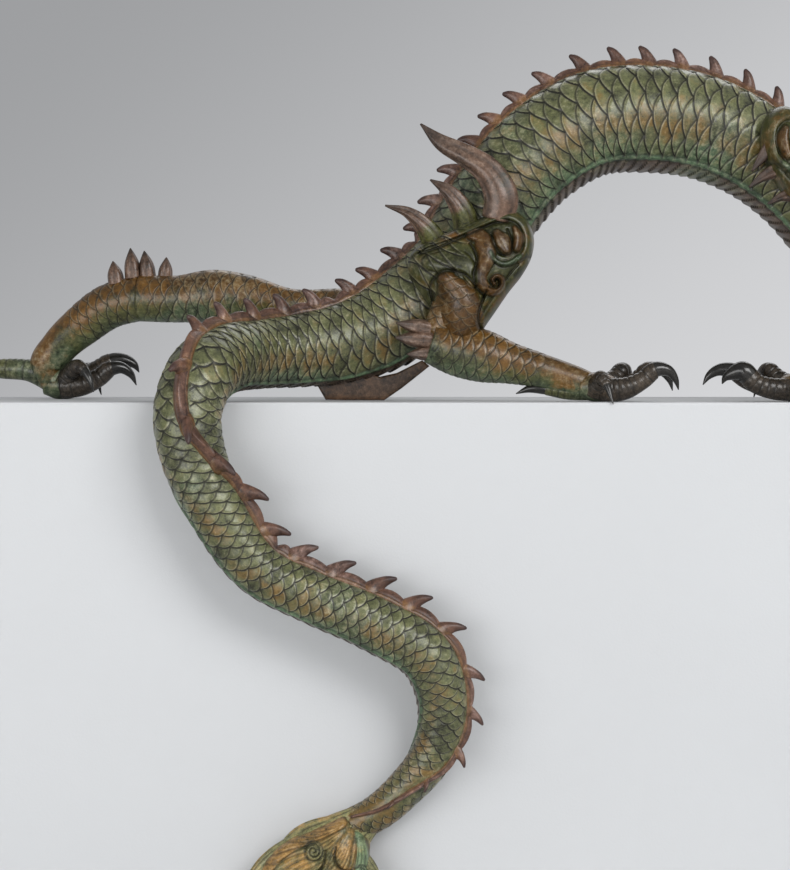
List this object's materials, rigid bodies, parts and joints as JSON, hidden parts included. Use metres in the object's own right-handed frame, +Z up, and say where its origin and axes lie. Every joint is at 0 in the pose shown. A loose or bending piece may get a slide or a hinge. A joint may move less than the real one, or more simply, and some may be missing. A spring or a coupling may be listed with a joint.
{
  "type": "dragon sculpture",
  "caption": "Scaled bronze dragon prowling along a pale block with an arched back, its finned tail hanging down the front face",
  "frame": {"origin": "middle of the block's underside, where it stands on the floor", "axes": "+X along the block toward the dragon's head, +Y away from the face the tail hangs on, +Z up"},
  "size_m": [1.4, 0.5256, 1.093],
  "materials": {
    "bronze": "cast bronze under a worn green and brown patina, dark in the grooves, claws nearly black",
    "painted_block": "smooth matt pale grey paint on a board box"
  },
  "bodies": {
    "root": {"dragon": "bronze", "plinth": "painted_block"}
  },
  "joints": []
}
